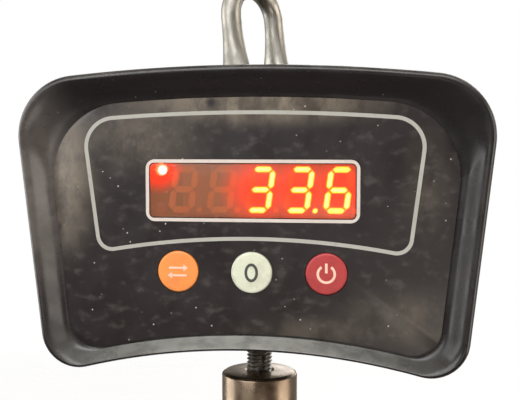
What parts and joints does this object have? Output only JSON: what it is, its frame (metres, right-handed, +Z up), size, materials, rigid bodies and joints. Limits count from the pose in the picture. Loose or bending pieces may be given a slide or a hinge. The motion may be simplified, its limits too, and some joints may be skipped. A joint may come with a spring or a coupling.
{
  "type": "crane scale",
  "caption": "Hanging digital crane scale: shackle, S-type load cell in a wide black housing with red digits and round keys, and a swivel hook with a safety latch.",
  "frame": {"origin": "inside of the shackle's crown, where the hoist hook bears", "axes": "+Z up along the load line, the display faces -Y, +X to the right seen from the front"},
  "size_m": [0.2089, 0.07, 0.309],
  "materials": {
    "housing_black": "glossy black ABS with fine scuffs and dust",
    "panel_film": "glossy printed polyester panel film",
    "window_red": "dark red transparent acrylic",
    "led_red": "lit red diffuse epoxy",
    "dark_plastic": "matte black moulded plastic",
    "key_orange": "satin orange silicone cap",
    "key_cream": "satin off-white silicone cap",
    "key_red": "satin red silicone cap",
    "board_green": "green solder mask on fibreglass",
    "battery_wrap": "blue shrink wrap",
    "zinc_plate": "bright zinc plate",
    "bright_steel": "machined and nickel-plated steel",
    "cell_aluminium": "machined alloy load cell",
    "seal_rubber": "black rubber"
  },
  "bodies": {
    "bow": {"shackle_bow": "zinc_plate", "shackle_pin": "zinc_plate", "shackle_nut": "zinc_plate", "shackle_cotter_pin": "zinc_plate"},
    "scale": {"front_housing": "housing_black", "rear_housing": "housing_black", "battery_cover": "housing_black", "front_overlay": "panel_film", "display_window": "window_red", "unit_indicator_1": "led_red", "unit_indicator_2": "led_red", "display_module": "dark_plastic", "battery_tray": "dark_plastic", "buzzer": "dark_plastic", "switch_units": "dark_plastic", "switch_zero": "dark_plastic", "switch_power": "dark_plastic", "charging_socket": "dark_plastic", "main_board": "board_green", "battery_1": "battery_wrap", "battery_2": "battery_wrap", "upper_locknut": "zinc_plate", "lower_locknut": "zinc_plate", "lower_stud": "zinc_plate", "bracket_screw_1": "zinc_plate", "bracket_screw_2": "zinc_plate", "housing_screw_1": "zinc_plate", "housing_screw_2": "zinc_plate", "housing_screw_3": "zinc_plate", "housing_screw_4": "zinc_plate", "board_screw_1": "zinc_plate", "board_screw_2": "zinc_plate", "board_screw_3": "zinc_plate", "board_screw_4": "zinc_plate", "battery_cover_screw_1": "zinc_plate", "battery_cover_screw_2": "zinc_plate", "upper_eye": "bright_steel", "housing_bracket": "bright_steel", "swivel_body": "bright_steel", "swivel_cap": "bright_steel", "lower_race": "bright_steel", "load_cell": "cell_aluminium", "gauge_cover": "cell_aluminium", "gasket_left": "seal_rubber", "gasket_right": "seal_rubber", "top_seal": "seal_rubber", "bottom_grommet": "seal_rubber", "load_cell_cable": "seal_rubber", "battery_lead": "seal_rubber"},
    "hook": {"hook": "bright_steel", "hook_nut": "bright_steel", "hook_nut_pin": "bright_steel", "upper_race": "bright_steel", "latch_pin": "bright_steel"},
    "bearing": {"ball_cage": "bright_steel"},
    "latch": {"safety_latch": "bright_steel", "latch_spring": "bright_steel"},
    "units_key": {"button_units": "key_orange"},
    "zero_key": {"button_zero": "key_cream"},
    "power_key": {"button_power": "key_red"}
  },
  "joints": [
    {"name": "bow_swing", "type": "hinge", "parent": "bow", "child": "scale", "pos_m": [0.00424, -0.00297, -0.04923], "axis": [0.5736, 0.8192, 0], "range_deg": [-36, 24]},
    {"name": "hook_swivel", "type": "hinge", "parent": "scale", "child": "hook", "pos_m": [0.00424, -0.00297, -0.20423], "axis": [0, 0, 1], "continuous": true},
    {"name": "cage_roll", "type": "hinge", "parent": "scale", "child": "bearing", "pos_m": [0.00424, -0.00297, -0.21123], "axis": [0, 0, 1], "continuous": true},
    {"name": "latch_open", "type": "hinge", "parent": "hook", "child": "latch", "pos_m": [-0.00526, -0.00297, -0.23623], "axis": [0, -1, 0], "range_deg": [0, 42], "stiffness_Nm_per_rad": 0.02, "springref_deg": -34.38},
    {"name": "units_press", "type": "slide", "parent": "scale", "child": "units_key", "axis": [0, 1, 0], "range_m": [0, 0.0005], "stiffness_N_per_m": 2000, "springref_m": -0.0003},
    {"name": "zero_press", "type": "slide", "parent": "scale", "child": "zero_key", "axis": [0, 1, 0], "range_m": [0, 0.0005], "stiffness_N_per_m": 2000, "springref_m": -0.0003},
    {"name": "power_press", "type": "slide", "parent": "scale", "child": "power_key", "axis": [0, 1, 0], "range_m": [0, 0.0005], "stiffness_N_per_m": 2000, "springref_m": -0.0003}
  ],
  "couplings": [
    {"joint": "cage_roll", "follows": "hook_swivel", "ratio": 0.5}
  ]
}
